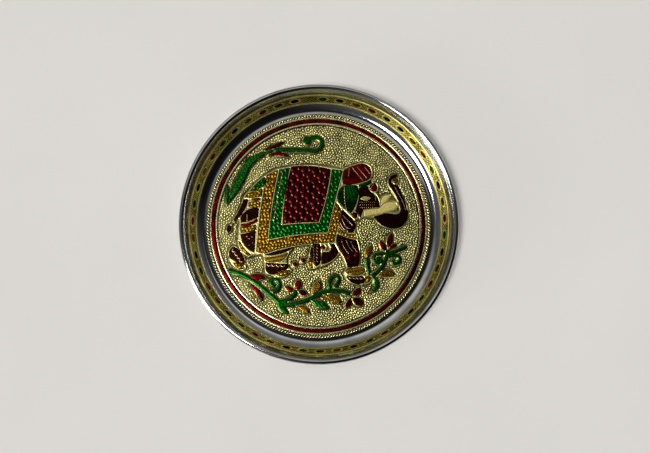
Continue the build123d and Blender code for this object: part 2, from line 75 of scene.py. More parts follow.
def addObject(name, data, place=(0, 0, 0)):
    thing = bpy.data.objects.new(name, data)
    thing.location = place
    bpy.context.scene.collection.objects.link(thing)
    return thing


# Levels and radii in millimetres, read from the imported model
sheetFoot, ropeTop = lowest("medallion_sheet"), highest("medallion_sheet")
groundLevel = lowest("saddle_quilt_enamel")    # top of the raised gold under the figure
fieldLevel = lowest("border_ring_enamel")
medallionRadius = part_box("medallion_sheet")[1][0] / mm
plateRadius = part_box("steel_plate")[1][0] / mm


# Shader helpers

# Gives each named input a link or a fixed value
def feed(tree, node, values):
    for label, value in values.items():
        if isinstance(value, bpy.types.NodeSocket):
            tree.links.new(value, node.inputs[label])
        else:
            node.inputs[label].default_value = value


def adjust(thing, **settings):
    for key, setting in settings.items():
        setattr(thing, key, setting)


def addNode(tree, kind, values=None, **settings):
    node = tree.nodes.new(kind)
    adjust(node, **settings)
    feed(tree, node, values or {})
    return node


def newGroup(name, colours, values, results):
    tree = bpy.data.node_groups.new(name, "ShaderNodeTree")
    for way, kind, labels in (("INPUT", "Color", colours), ("INPUT", "Float", values),
                              ("OUTPUT", "Color", ("Colour",)), ("OUTPUT", "Float", results)):
        for label in labels:
            tree.interface.new_socket(name=label, in_out=way, socket_type="NodeSocket" + kind)
    return tree, addNode(tree, "NodeGroupInput").outputs, addNode(tree, "NodeGroupOutput")


def mixColour(tree, share, first, second):
    values = {0: share, 6: first, 7: second}    # the colour sockets of the mix node
    return addNode(tree, "ShaderNodeMix", values, data_type="RGBA").outputs[2]


def remap(tree, value, limits, reach=(0.0, 1.0)):
    values = dict(enumerate((value, *limits, *reach)))
    return addNode(tree, "ShaderNodeMapRange", values, interpolation_type="SMOOTHSTEP").outputs[0]


def maths(tree, operation, first, second):
    return addNode(tree, "ShaderNodeMath", {0: first, 1: second}, operation=operation).outputs[0]


def noise(tree, coords, scale, detail=3.0):
    values = {"Vector": coords, "Scale": scale, "Detail": detail}
    return addNode(tree, "ShaderNodeTexNoise", values).outputs["Fac"]


# Adds a noise to a value, up to an amount either way; usual is where the noise mostly lies
def unsettle(tree, value, grain, amount, usual=(0.3, 0.7)):
    return maths(tree, "ADD", value, remap(tree, grain, usual, (-amount, amount)))


def objectPlace(tree):
    return addNode(tree, "ShaderNodeTexCoord").outputs["Object"]


def bumped(tree, height, strength, distance):
    values = {"Height": height, "Strength": strength, "Distance": distance}
    return addNode(tree, "ShaderNodeBump", values).outputs["Normal"]


# Pressed foil: painted highlight on what stands up, painted shade in the hollows, with cloudy wear
foilSurface = Look(
    cloudScale=90, speckScale=1400, speckDetail=2.0, cloudLift=0.12, speckLift=0.1,
    brightSpan=(0.0, 0.9), roughSpan=(0.25, 0.75), roughness=(0.26, 0.4), bump=0.25, bumpDepth=0.0002)


def makeFoilTone():
    look = foilSurface
    tree, given, result = newGroup("foilTone", ("Bright", "Deep"), ("Relief", "Polish"),
                                   ("Roughness", "Height"))
    place = objectPlace(tree)
    cloud = noise(tree, place, look.cloudScale)
    speck = noise(tree, place, look.speckScale, look.speckDetail)
    lifted = unsettle(tree, given["Relief"], cloud, look.cloudLift)
    lifted = unsettle(tree, lifted, speck, look.speckLift)
    share = remap(tree, lifted, look.brightSpan)
    dull = remap(tree, speck, look.roughSpan, look.roughness)
    feed(tree, result, {"Colour": mixColour(tree, share, given["Deep"], given["Bright"]),
                        "Roughness": maths(tree, "SUBTRACT", dull, given["Polish"]), "Height": speck})
    return tree


# Clear coloured lacquer on foil: painted highlight in a paler colour on bosses, painted shade in a deep
# colour in the hollows, gilt where a line is left bare
lacquerSurface = Look(
    poolScale=160, speckScale=1100, speckDetail=2.0, poolLift=0.25, speckLift=0.2,
    colourSpan=(0.05, 0.6), thinSpan=(0.75, 1.05), thinShare=(0.0, 0.75), roughSpan=(0.25, 0.75),
    roughness=(0.2, 0.36), bump=0.15, bumpDepth=0.0002, shine=1.0, coat=0.05, coatRoughness=0.14,
    specular=0.25, gilt=(192, 160, 124))


def makeLacquerTone():
    look = lacquerSurface
    tree, given, result = newGroup("lacquerTone", ("Colour", "Deep", "Glint", "Gilt"),
                                   ("Relief", "Bare", "Foil shine"), ("Metal", "Roughness", "Height"))
    place = objectPlace(tree)
    pool = noise(tree, place, look.poolScale)
    speck = noise(tree, place, look.speckScale, look.speckDetail)
    depth = unsettle(tree, given["Relief"], pool, look.poolLift)
    tone = mixColour(tree, remap(tree, depth, look.colourSpan), given["Deep"], given["Colour"])
    peak = unsettle(tree, given["Relief"], speck, look.speckLift)
    tone = mixColour(tree, remap(tree, peak, look.thinSpan, look.thinShare), tone, given["Glint"])
    feed(tree, result, {"Colour": mixColour(tree, given["Bare"], tone, given["Gilt"]),
                        "Metal": maths(tree, "MAXIMUM", given["Foil shine"], given["Bare"]),
                        "Roughness": remap(tree, speck, look.roughSpan, look.roughness),
                        "Height": speck})
    return tree


foilTone = makeFoilTone()
lacquerTone = makeLacquerTone()


def newMaterial(name):
    material = bpy.data.materials.new(name)
    material.use_nodes = True
    tree = material.node_tree
    return material, tree, tree.nodes["Principled BSDF"]


# A value that the mesh carries at each of its places
def carried(tree, label):
    return addNode(tree, "ShaderNodeAttribute", attribute_name=label).outputs["Fac"]


def foilMaterial(name, look):
    material, tree, shader = newMaterial(name)
    values = {"Bright": srgb(*look.bright), "Deep": srgb(*look.deep), "Polish": look.polish,
              "Relief": carried(tree, "relief")}
    tone = addNode(tree, "ShaderNodeGroup", values, node_tree=foilTone).outputs
    feed(tree, shader, {
        "Base Color": tone["Colour"], "Roughness": tone["Roughness"], "Metallic": 1.0,
        "Normal": bumped(tree, tone["Height"], foilSurface.bump, foilSurface.bumpDepth)})
    return material


def lacquerMaterial(name, ownLook):
    look = Look(lacquerSurface, **ownLook)
    material, tree, shader = newMaterial(name)
    values = {label: srgb(*look[label.lower()]) for label in ("Colour", "Deep", "Glint", "Gilt")}
    values.update({label: carried(tree, label.lower()) for label in ("Relief", "Bare")})
    values["Foil shine"] = look.shine
    tone = addNode(tree, "ShaderNodeGroup", values, node_tree=lacquerTone).outputs
    feed(tree, shader, {
        "Base Color": tone["Colour"], "Metallic": tone["Metal"], "Roughness": tone["Roughness"],
        "Coat Weight": look.coat, "Coat Roughness": look.coatRoughness,
        "Specular IOR Level": look.specular,
        "Normal": bumped(tree, tone["Height"], look.bump, look.bumpDepth)})
    return material


# Gilt foils: the bright colour is a painted highlight on what stands up, the deep colour a painted
# shade in the hollows
foils = Look(
    gilt=Look(bright=(188, 180, 116), deep=(26, 22, 5), polish=0.0),
    borderGilt=Look(bright=(216, 209, 156), deep=(26, 22, 5), polish=0.1),
    bandGilt=Look(bright=(228, 214, 124), deep=(60, 48, 6), polish=0.0),
)
# Lacquers: colour, then a deep colour painted in hollows and at rims as painted shade, then a paler
# colour painted on bosses as painted highlight
lacquers = Look(
    ruby=Look(colour=(104, 8, 6), deep=(34, 2, 1), glint=(166, 52, 40)),
    maroon=Look(colour=(60, 2, 5), deep=(16, 1, 1), glint=(122, 38, 38)),
    emerald=Look(colour=(8, 72, 12), deep=(2, 28, 4), glint=(36, 124, 38)),
    amber=Look(colour=(104, 74, 4), deep=(40, 17, 1), glint=(182, 142, 36)),
    sapphire=Look(colour=(5, 9, 40), deep=(1, 2, 14), glint=(40, 50, 104)),
    aubergine=Look(colour=(36, 12, 6), deep=(12, 3, 1), glint=(96, 44, 32), coat=0.0),
    ivory=Look(
        colour=(216, 200, 112), deep=(134, 114, 46), glint=(246, 234, 160), shine=0.5, coat=0.2),
)
materials = {name: foilMaterial(name, look) for name, look in foils.items()}
materials.update({name: lacquerMaterial(name, look) for name, look in lacquers.items()})


# Polished spun steel: fine turning lines around the axis, faint smudges
steelLook = Look(
    colour=(206, 206, 202), stain=(176, 176, 172), smudgeScale=55, smudgeDetail=5.0,
    stainSpan=(0.42, 0.72), roughSpan=(0.35, 0.7), roughness=(0.09, 0.12), turningPitch=0.35,
    turningDetail=4.0, turningBump=0.02, turningDepth=0.00002)


def makeSteel():
    look = steelLook
    material, tree, shader = newMaterial("spunSteel")
    place = objectPlace(tree)
    split = addNode(tree, "ShaderNodeSeparateXYZ", {0: place}).outputs
    squares = [maths(tree, "MULTIPLY", split[axis], split[axis]) for axis in ("X", "Y")]
    radius = maths(tree, "SQRT", maths(tree, "ADD", *squares), 0.0)
    line = addNode(tree, "ShaderNodeCombineXYZ", {"X": radius, "Y": split["Z"]}).outputs[0]
    turning = noise(tree, line, 1 / (look.turningPitch * mm), look.turningDetail)
    smudge = noise(tree, place, look.smudgeScale, look.smudgeDetail)
    stain = remap(tree, smudge, look.stainSpan)
    feed(tree, shader, {
        "Base Color": mixColour(tree, stain, srgb(*look.colour), srgb(*look.stain)),
        "Roughness": remap(tree, smudge, look.roughSpan, look.roughness), "Metallic": 1.0,
        "Normal": bumped(tree, turning, look.turningBump, look.turningDepth)})
    return material


materials["steel"] = makeSteel()
print("materials ready:", len(materials))


# Mesh helpers: places in millimetres, one mesh per piece

def addPiece(name, places, faces, material, node, relief=None, bare=None):
    mesh = bpy.data.meshes.new(name)
    mesh.from_pydata((np.asarray(places) * mm).tolist(), [], faces)
    mesh.validate()
    mesh.polygons.foreach_set("use_smooth", [True] * len(mesh.polygons))
    for label, values in (("relief", relief), ("bare", bare)):
        if values is not None:
            layer = mesh.attributes.new(label, "FLOAT", "POINT")
            layer.data.foreach_set("value", np.asarray(values, dtype=np.float32))
    mesh.materials.append(materials[material])
    piece = addObject(name, mesh)
    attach(piece, "root")
    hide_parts(node)
    return piece


# Faces between rows of equally many places; each row joins the next
def gridFaces(rows, columns, closedRows=False, closedColumns=True):
    faces = []
    for row in range(rows if closedRows else rows - 1):
        here, upper = row * columns, (row + 1) % rows * columns
        for column in range(columns if closedColumns else columns - 1):
            side = (column + 1) % columns
            faces.append((upper + column, upper + side, here + side, here + column))
    return faces


def shifted(faces, shift):
    return [tuple(index + shift for index in face) for face in faces]


def pairsAround(loop):
    return list(zip(loop, loop[1:] + loop[:1]))


def evenTurns(count):
    return np.linspace(0, fullTurn, count + 1)[:-1]


def circle(count):
    turns = evenTurns(count)
    return np.column_stack((np.cos(turns), np.sin(turns)))


def ringRow(radius, turns, height):
    return np.column_stack((radius * np.cos(turns), radius * np.sin(turns),
                            np.broadcast_to(height, len(turns))))


def revolve(section, turns):
    return np.concatenate([ringRow(radius, turns, height) for radius, height in section])


def onward(loop):
    return np.roll(loop, -1, axis=0)


def unit(vectors):
    return vectors / (np.linalg.norm(vectors, axis=1)[:, None] + tiny)


# A round swell: full at 0, down to nothing at 1
def dome(share):
    return np.sqrt(np.clip(1 - share**2, 0, 1))


def smoothStep(value, low, high):
    share = np.clip((value - low) / (high - low), 0, 1)
    return share * share * (3 - 2 * share)


# Outline of a node's flat top at one level, joined from its triangles; holes run the other way round
def topLoops(node, level):
    mesh = nodes[node].data
    places = np.empty(len(mesh.vertices) * 3)
    mesh.vertices.foreach_get("co", places)
    places = places.reshape(-1, 3) / mm
    keys = [(round(x, 3), round(y, 3)) for x, y, z in places]
    onTop = np.abs(places[:, 2] - level) < 0.01    # a hundredth of a millimetre
    edges = set()
    for face in mesh.polygons:
        if all(onTop[index] for index in face.vertices):
            edges.update(pairsAround([keys[index] for index in face.vertices]))
    following = {}
    for start, end in edges:
        if (end, start) not in edges:
            following.setdefault(start, []).append(end)
    loops = []
    while following:
        loop, here = [], next(iter(following))
        while here in following:
            loop.append(here)
            ends = following[here]
            end = ends.pop()
            if not ends:
                del following[here]
            here = end
        loops.append(np.array(loop))
    return [loop for loop in loops if len(loop) > 2]


# Places on a smooth step between two points, with the ways it leaves and arrives
def span(start, end, leave, arrive, parts):
    return [(2 * t**3 - 3 * t**2 + 1) * start + (t**3 - 2 * t**2 + t) * leave
            + (3 * t**2 - 2 * t**3) * end + (t**3 - t**2) * arrive
            for t in (part / parts for part in range(parts))]


# Rounds the straight steps of an outline, keeps its corners and long straights, and divides it evenly
soften = Look(shortest=0.06, cornerTurn=50, straight=2.4)


def softenLoop(loop, step):
    gaps = np.linalg.norm(onward(loop) - loop, axis=1)
    loop = loop[gaps > soften.shortest]
    ahead = onward(loop) - loop
    lengths = np.linalg.norm(ahead, axis=1)
    along = ahead / lengths[:, None]
    behind = np.roll(along, 1, axis=0)
    before = np.roll(lengths, 1)
    turn = np.degrees(np.abs(np.arctan2(behind[:, 0] * along[:, 1] - behind[:, 1] * along[:, 0],
                                        (behind * along).sum(axis=1))))
    tangent = unit(behind * lengths[:, None] + along * before[:, None])
    count = len(loop)
    places = []
    for index in range(count):
        after = (index + 1) % count
        length = lengths[index]
        straight = length > soften.straight * min(before[index], lengths[after])
        leave, arrive = (along[index] if straight or turn[end] > soften.cornerTurn else tangent[end]
                         for end in (index, after))
        parts = max(1, round(length / step))
        places += span(loop[index], loop[after], length * leave, length * arrive, parts)
    return np.array(places)


def loopArea(loop):
    after = onward(loop)
    return 0.5 * (loop[:, 0] * after[:, 1] - loop[:, 1] * after[:, 0]).sum()


def insideLoops(places, loops):
    inside = np.zeros(len(places), dtype=bool)
    for loop in loops:
        low, high = loop.min(axis=0), loop.max(axis=0)
        near = np.where(((places >= low) & (places <= high)).all(axis=1))[0]
        if not len(near):
            continue
        x, y = places[near, 0], places[near, 1]
        odd = np.zeros(len(near), dtype=bool)
        for (ax, ay), (bx, by) in zip(loop, onward(loop)):
            if ay != by:
                odd ^= ((ay > y) != (by > y)) & (x < (bx - ax) * (y - ay) / (by - ay) + ax)
        inside[near] ^= odd
    return inside


def nearTree(places):
    tree = kdtree.KDTree(len(places))
    for index, (x, y) in enumerate(places):
        tree.insert((x, y, 0), index)
    tree.balance()
    return tree


def distances(tree, places):
    return np.array([tree.find((x, y, 0))[2] for x, y in places])


def denseLoops(loops, step=0.12):
    places = []
    for loop in loops:
        for start, end in zip(loop, onward(loop)):
            parts = max(1, int(np.linalg.norm(end - start) / step))
            places += [start + (end - start) * part / parts for part in range(parts)]
    return np.array(places)


def hexPlaces(low, high, pitch):
    rowGap = pitch * math.sqrt(3) / 2
    rows, columns = (int((high[axis] - low[axis]) / gap) + 2 for axis, gap in ((1, rowGap), (0, pitch)))
    return np.array([(low[0] + column * pitch + row % 2 * pitch / 2, low[1] + row * rowGap)
                     for row in range(rows) for column in range(columns)])


def outward(loop):
    ahead = unit(onward(loop) - np.roll(loop, 1, axis=0))
    return np.column_stack((ahead[:, 1], -ahead[:, 0]))


# Triangles between fixed outlines and loose points; each result names the point it came from
triangles = Look(merge=1e-5, leastArea=1e-7, everywhere=0, inside=1)


def triangulate(places, loops, kind):
    edges, first = [], 0
    for loop in loops:
        edges += pairsAround(list(range(first, first + len(loop))))
        first += len(loop)
    found = delaunay_2d_cdt([Vector(place) for place in places], edges, [], kind, triangles.merge)
    origin = np.array([ids[0] if ids else -1 for ids in found[3]])
    spots = np.array([(spot.x, spot.y) for spot in found[0]])
    faces = []
    for a, b, c in found[2]:
        ab, ac = spots[b] - spots[a], spots[c] - spots[a]
        area = ab[0] * ac[1] - ab[1] * ac[0]
        if abs(area) > triangles.leastArea:
            faces.append((a, b, c) if area > 0 else (a, c, b))
    return spots, faces, origin


# Relief patterns for the lacquered cells: round or long bosses on a lattice, or ribs
# pale is how much lighter a boss is painted toward its top, a painted highlight
plain = Look(origin=(0, 0), tilt=0, stretch=1, uneven=0, vary=0, pale=0, bare=0)
wander = Look(aside=(12.9, 78.2), up=(39.3, 11.1), strength=(57.3, 91.7))    # makes bosses uneven


def emboss(**own):
    return Look(plain, **own)


def lattice(places, pattern):
    origin, first, second = (np.array(pattern[key]) for key in ("origin", "first", "second"))
    basis = np.column_stack((first, second))
    steps = (places - origin) @ np.linalg.inv(basis).T
    tilt = math.radians(pattern.tilt)
    amount = np.zeros(len(places))
    for neighbour in neighbours:
        knot = np.round(steps) + neighbour
        uneven = np.column_stack((np.sin(knot @ wander.aside), np.cos(knot @ wander.up)))
        gap = places - (knot @ basis.T + origin + pattern.uneven * uneven)
        along = gap[:, 0] * math.cos(tilt) + gap[:, 1] * math.sin(tilt)
        across = gap[:, 1] * math.cos(tilt) - gap[:, 0] * math.sin(tilt)
        strength = 1 - pattern.vary * (0.5 + 0.5 * np.sin(knot @ wander.strength))
        reach = np.hypot(along / pattern.stretch, across) / pattern.radius
        amount = np.maximum(amount, strength * np.clip(1 - reach**2, 0, 1))
    return amount


def ribs(places, pattern):
    gap = places - np.array(pattern.origin)
    if "fan" in pattern:
        phase = np.arctan2(gap[:, 1], gap[:, 0]) / math.radians(pattern.fan)
    else:
        lean = math.radians(pattern.lean)
        phase = (gap[:, 0] * math.cos(lean) + gap[:, 1] * math.sin(lean)) / pattern.pitch
    return 0.5 + 0.5 * np.cos(fullTurn * phase)


# A smooth line through the points
def curve(points, step=0.3):
    points = np.array(points, dtype=float)
    padded = np.vstack((2 * points[0] - points[1], points, 2 * points[-1] - points[-2]))
    places = []
    for a, b, c, d in zip(padded, padded[1:], padded[2:], padded[3:]):
        places += span(b, c, (c - a) / 2, (d - b) / 2, max(2, int(np.linalg.norm(c - b) / step)))
    return np.array(places + [points[-1]])


# The figure was drawn a little larger than it sits on the disc
drawingScale = 0.99


def onDisc(points):
    return np.array(points, dtype=float) * drawingScale


# Sizes in millimetres; a profile lists places across a line or dot, each with its gilt and its height.
# A cell's colour starts from its tone and is painted lighter toward the crown of its dome, a painted
# highlight.
cell = Look(
    pitch=0.4, outlineStep=0.4, edge=0.6, skirt=0.05, tone=0.1, swellTone=0.4, ragged=0, lines=(),
    dots=(), lineWidth=0.17, lineHeight=0.08, lineBare=0.7, dotHeight=0.1, dotPlaces=8,
    lineProfile=((0, 1, 1), (1, 0.7, 0.6), (-1, 0.7, 0.6), (2.2, 0, 0), (-2.2, 0, 0)),
    dotProfile=((0, 1, 1), (0.6, 0.9, 0.75), (1, 0, 0)), markToRim=0.2, looseToRim=0.55,
    looseToMark=0.9, bareSpan=(0.05, 0.5), sameLevel=0.05)


# Gilt lines and gilt dots of a cell as places with their share of bare gilt and their height
def marksOf(look):
    marks = [np.empty((0, 4))]

    def mark(spots, bare, height):
        marks.append(np.column_stack((spots, np.full(len(spots), bare), np.full(len(spots), height))))

    for points in look.lines:
        middle = curve(onDisc(points))
        heading = unit(np.gradient(middle, axis=0))
        aside = np.column_stack((-heading[:, 1], heading[:, 0]))
        for offset, shown, height in cell.lineProfile:
            mark(middle + aside * offset * cell.lineWidth, shown * look.lineBare,
                 height * cell.lineHeight)
    for x, y, radius in look.dots:
        for share, shown, height in cell.dotProfile:
            spots = onDisc((x, y)) + radius * share * circle(cell.dotPlaces)
            mark(spots if share else spots[:1], shown * cell.lineBare, height * cell.dotHeight)
    return np.concatenate(marks)


# One lacquered island: domed from its outline, with its pattern, gilt lines and gilt dots
def domeIsland(loops, base, rise, look):
    rim = np.concatenate(loops)
    tree = nearTree(denseLoops(loops))
    marks = marksOf(look)
    marks = marks[insideLoops(marks[:, :2], loops)]
    marks = marks[distances(tree, marks[:, :2]) > cell.markToRim]
    loose = hexPlaces(rim.min(axis=0), rim.max(axis=0), cell.pitch)
    loose = loose[insideLoops(loose, loops)]
    loose = loose[distances(tree, loose) > cell.looseToRim * cell.pitch]
    if len(marks):
        loose = loose[distances(nearTree(marks[:, :2]), loose) > cell.looseToMark * cell.pitch]
    spots, faces, origin = triangulate(np.concatenate((rim, loose, marks[:, :2])), loops,
                                       triangles.inside)
    if len(loops) > 1:
        middles = np.array([spots[list(face)].mean(axis=0) for face in faces])
        faces = [face for face, kept in zip(faces, insideLoops(middles, loops)) if kept]
    reach = distances(tree, spots)
    swell = dome(1 - np.clip(reach / look.edge, 0, 1))
    lift, bare, pale = np.zeros((3, len(spots)))
    for pattern in look.patterns:
        amount = (lattice if "radius" in pattern else ribs)(spots / drawingScale, pattern)
        lift += pattern.height * np.sqrt(amount) * swell
        pale += pattern.pale * amount * swell
        bare = np.maximum(bare, pattern.bare * smoothStep(amount, *cell.bareSpan) * swell)
    mark = origin - len(rim) - len(loose)
    marked = np.where(mark >= 0)[0]
    bare[marked] = np.maximum(bare[marked], marks[mark[marked], 2])
    lift[marked] += marks[mark[marked], 3]
    # painted highlight: lighter toward the crown of the dome and on the tops of the bosses
    relief = np.clip(look.tone + cell.swellTone * swell + pale, 0, 1)
    top = np.column_stack((spots, base + rise * swell + lift))
    under = np.column_stack((spots, np.full(len(spots), base - cell.skirt)))
    count = len(spots)
    closed = faces + shifted([face[::-1] for face in faces], count)
    edges = {edge for face in faces for edge in pairsAround(face)}
    closed += [(b, a, a + count, b + count) for a, b in sorted(edges) if (b, a) not in edges]
    return np.concatenate((top, under)), closed, np.tile(relief, 2), np.tile(bare, 2)


# The lacquer ran a little past its drawn line onto the gilt
lacquerRun = Look(wave=0.75, slowWave=0.19, least=0.85)


def grown(loop, amount, ragged):
    tree = nearTree(denseLoops([loop]))
    steps = np.arange(len(loop))
    wave, slowWave = np.sin(steps * lacquerRun.wave), np.sin(steps * lacquerRun.slowWave)
    reach = amount + ragged * np.abs(wave) * slowWave**2
    wide = loop + outward(loop) * reach[:, None]
    return wide[distances(tree, wide) > lacquerRun.least * amount]


def islandsOf(loops):
    islands = [[loop] for loop in loops if loopArea(loop) > 0]
    for hole in (loop for loop in loops if loopArea(loop) < 0):
        for island in islands:
            if insideLoops(hole[:1], island[:1])[0]:
                island.append(hole)
                break
    return islands


# The lacquered cells of the figure: finish, spill past the drawn line, patterns, and own values.
# Places are on the drawing in millimetres from the middle of the disc.
quiltSteps = Look(first=(4.2, -4.8), second=(-4.6, -3.9))
beadRows = emboss(
    first=(2.7, 0.4), second=(1.0, 2.6), radius=1.4, height=0.4, pale=0.6, uneven=0.4, vary=0.6)
strokes = emboss(
    first=(3.3, 0.5), second=(1.4, 3.0), radius=0.85, stretch=1.7, tilt=112, height=0.26, pale=0.6,
    uneven=0.55, vary=0.75)
stipple = emboss(first=(1.7, 0.25), second=(0.65, 1.6), radius=0.65, height=0.06, pale=0.3)
toeBeads = emboss(first=(3.3, 0.4), second=(0.6, 3.3), radius=1.8, height=0.5, pale=0.4, uneven=0.2)


# A scalloped gilt line from start to end, bulging to the right of the way it runs
def scallops(start, end, count, depth, parts=6):
    start, end = np.array(start), np.array(end)
    along = (end - start) / (parts * count)
    side = np.array((along[1], -along[0])) / np.hypot(*along)
    return tuple(tuple(start + along * step + side * depth * abs(math.sin(math.pi * step / parts)))
                 for step in range(parts * count + 1))


def lacquered(finish, spill, *patterns, **own):
    return Look(cell, finish=finish, spill=spill, patterns=patterns, **own)


cells = dict(
    saddle_quilt=lacquered(
        "maroon", 0.15,
        emboss(origin=(-7.6, 41.6), radius=2.6, height=0.5, pale=0.14, vary=0.45, **quiltSteps),
        emboss(origin=(-7.8, 37.25), radius=0.8, stretch=1.8, tilt=115, height=0.25, pale=0.5,
               bare=0.12, **quiltSteps), tone=0.0),
    saddle_border=lacquered("emerald", 0.15, strokes, lines=(
        ((-29.3, 43.6), (-33.5, 23), (-36.4, 4.2)),)),
    saddle_fringe=lacquered("amber", 0.15, beadRows, tone=0.0),
    rump_scallop=lacquered("emerald", 0.35, strokes),
    rump_band=lacquered("amber", 0.3, beadRows, tone=0.0),
    rump_stripe=lacquered("ruby", 0.3, edge=1.3, tone=0.3),
    haunch=lacquered("aubergine", 0.45, stipple, lines=(
        ((-58.3, 3), (-58.3, 9)),), dots=(
        (-58.4, -8.6, 0.45), (-56.6, -10.4, 0.5), (-54.2, -8.8, 0.45),
        (-56.4, -15.6, 0.45), (-53.9, -13.8, 0.45))),
    tail=lacquered("aubergine", 0.35, stipple),
    anklet=lacquered("amber", 0.3, emboss(lean=100, pitch=2.9, height=0.25, pale=0.75), tone=0.15),
    foot=lacquered("aubergine", 0.4, stipple, lines=(
        scallops((-42, -31.4), (-27.4, -32), 4, 1.4), scallops((-70, -18.6), (-62.2, -29.4), 4, 1.3),
        scallops((25, -42), (36.9, -42.2), 4, 1.2))),
    toe=lacquered("amber", 0.35, toeBeads, edge=1.3),
    head_cap=lacquered("ruby", 0.3, stipple, tone=-0.1, lines=(
        ((27.5, 47.5), (37, 36)), ((31.5, 48), (39.5, 39)), ((37.5, 48), (42, 42.5)),
        ((25, 47), (24.5, 41)))),
    head_strap=lacquered("emerald", 0.3, edge=1.3),
    ear=lacquered(
        "emerald", 0.3, emboss(origin=(22, 46), fan=7, height=0.12, pale=0.12),
        emboss(lean=92, pitch=2.6, height=0.1, pale=0.12),
        # a broad pale patch with no relief, a painted highlight on the ear
        emboss(origin=(26, 27), first=(90, 0), second=(0, 90), radius=8, height=0, pale=0.5),
        tone=-0.35, lines=(((20.9, 32), (21.5, 20), (23, 12)),)),
    face=lacquered("aubergine", 0.3, stipple, lines=(
        ((46, 30), (48.5, 26), (48.8, 21.5)), ((44.5, 27.5), (46.4, 24.5), (46.6, 21))),
        dots=tuple((34 + 1.7 * step, height, 0.4) for height in (19.4, 17.2, 15) for step in range(8))),
    brow=lacquered("ruby", 0.35, edge=1.3, lines=(((45.5, 35), (42, 30)),)),
    tusk=lacquered("ivory", 0.1, edge=1.3, tone=0.3),
    trunk=lacquered("aubergine", 0.45, lines=(
        ((62.4, 31.6), (65.4, 26), (68.9, 19.3), (71.2, 13.1)),)),
    trunk_tip=lacquered("amber", 0.1, stipple),
    chest=lacquered("aubergine", 0.35, stipple, lines=(
        ((20.3, 8.3), (27.8, 0.4)), ((18.9, 6), (22.2, -0.6), (25.9, -2.4)),
        ((17, 3.2), (20.3, -2), (24, -4.3)))),
    necklace=lacquered("amber", 0.35, beadRows),
    foreleg=lacquered("aubergine", 0.4, stipple, lineBare=0.22, lines=(
        ((18.6, -11), (20.6, -17), (24.6, -22.6)), ((22.4, -11.4), (25, -17), (28.2, -21)),
        ((26.4, -12.6), (28.6, -17.4), (31.4, -21)), scallops((-3.6, -15.8), (-3, -29.4), 5, 0.9),
        scallops((-0.6, -15.8), (-0.6, -29.4), 5, 0.9), ((2.9, -21.2), (1.7, -25.6), (2.3, -30.8)))),
    drop=lacquered("ruby", 0.3, edge=1.3),
    vine_stem=lacquered("emerald", 0.5, edge=1.3, tone=0.3),
    vine_leaf=lacquered("emerald", 0.4, emboss(lean=35, pitch=2.6, height=0.07, pale=0.2),
                        ragged=0.5, edge=1.3, tone=0.35),
    vine_red=lacquered("ruby", 0.4, stipple, edge=1.3, tone=-0.15),
    vine_amber=lacquered("amber", 0.4, stipple, edge=1.3, tone=0.3),
    knee_flower=lacquered("ruby", 0.0, stipple, tone=0.0),
    eye_boss=lacquered("gilt", 0.0, tone=0.5),
)
drawnLoops, spiltLoops = [], []    # outlines on the gilt ground, as drawn and as the lacquer ran


def makeCell(name, look):
    node = name if name in nodes else name + "_enamel"
    base, top = lowest(node), highest(node)
    drawn = [softenLoop(loop, cell.outlineStep) for loop in topLoops(node, top)]
    spilt = [grown(loop, look.spill, look.ragged) if look.spill else loop for loop in drawn]
    spilt = [loop for loop in spilt if len(loop) > 3]    # without holes that the lacquer closed
    if abs(base - groundLevel) < cell.sameLevel:
        drawnLoops.extend(drawn)
        spiltLoops.extend(spilt)
    parts, faces, count = [], [], 0
    for island in islandsOf(spilt):
        places, islandFaces, relief, bare = domeIsland(island, base, top - base, look)
        faces += shifted(islandFaces, count)
        count += len(places)
        parts.append((places, relief, bare))
    places, relief, bare = (np.concatenate(values) for values in zip(*parts))
    pieceName = name[0] + name.title().replace("_", "")[1:]
    addPiece(pieceName, places, faces, look.finish, node, relief, bare)


for name, look in cells.items():
    makeCell(name, look)
print("lacquered cells:", len(cells), "outlines on the ground:", len(drawnLoops))


# Rope border with its two plain lines; the red ring lies in the channel between the lines. Lines and
# lobes are painted lighter as a painted highlight, the gaps between lobes darker as a painted shade.
rope = Look(
    innerLine=2.1, outerLine=1.8, lineHeight=0.8, lineRows=9, lobes=240, slant=0.95, lobeRows=14,
    lobeStart=0.1, valley=0.15, lobeCurve=0.8, angleSteps=1920, innerGap=0.02, outerGap=0.03,
    flatTone=0.2, lineTone=0.6, lobeTone=1.4, lobeToneCurve=1.5, valleyTone=-0.1)
ring = Look(segments=360, rows=13, lift=0.02, tone=0.1, swellTone=0.35)
ringVertices = nodes["border_ring_enamel"].data.vertices
ringReach = [math.hypot(vertex.co.x, vertex.co.y) / mm for vertex in ringVertices]
ringInner, ringOuter = min(ringReach), max(ringReach)
fieldRadius = ringInner - rope.innerLine
ropeInner = ringOuter + rope.outerLine


# Gilt disc: pebbled field, raised ground under the figure, a rounded gilt line round every cell.
# A step of the foot is its distance out, its share of the height and its tone, a painted shade at the
# foot of the raised ground.
foil = Look(
    edgeSteps=540, underRope=0.1, outlineStep=0.5, edgeDrop=0.16,
    foot=((0.2, 0.45, 0.5), (0.45, 0, 0.3)), footKept=0.9, footToEdge=0.3,
    lineOffsets=(0.22, 0.48, 0.8), lineHeight=0.24, lineReach=1.0, marginSpan=(-0.2, 0.5),
    barePitch=0.7, bareToCell=1.05, goldToCell=0.15, goldToMargin=0.18, goldGap=0.2, grainGap=1.36,
    grainTries=80000, grainHeight=0.58, grainSizes=(0.65, 1), grainToEdge=0.7, grainClear=0.85,
    saddle=0.15, shoulder=0.8, shoulderReach=0.52)
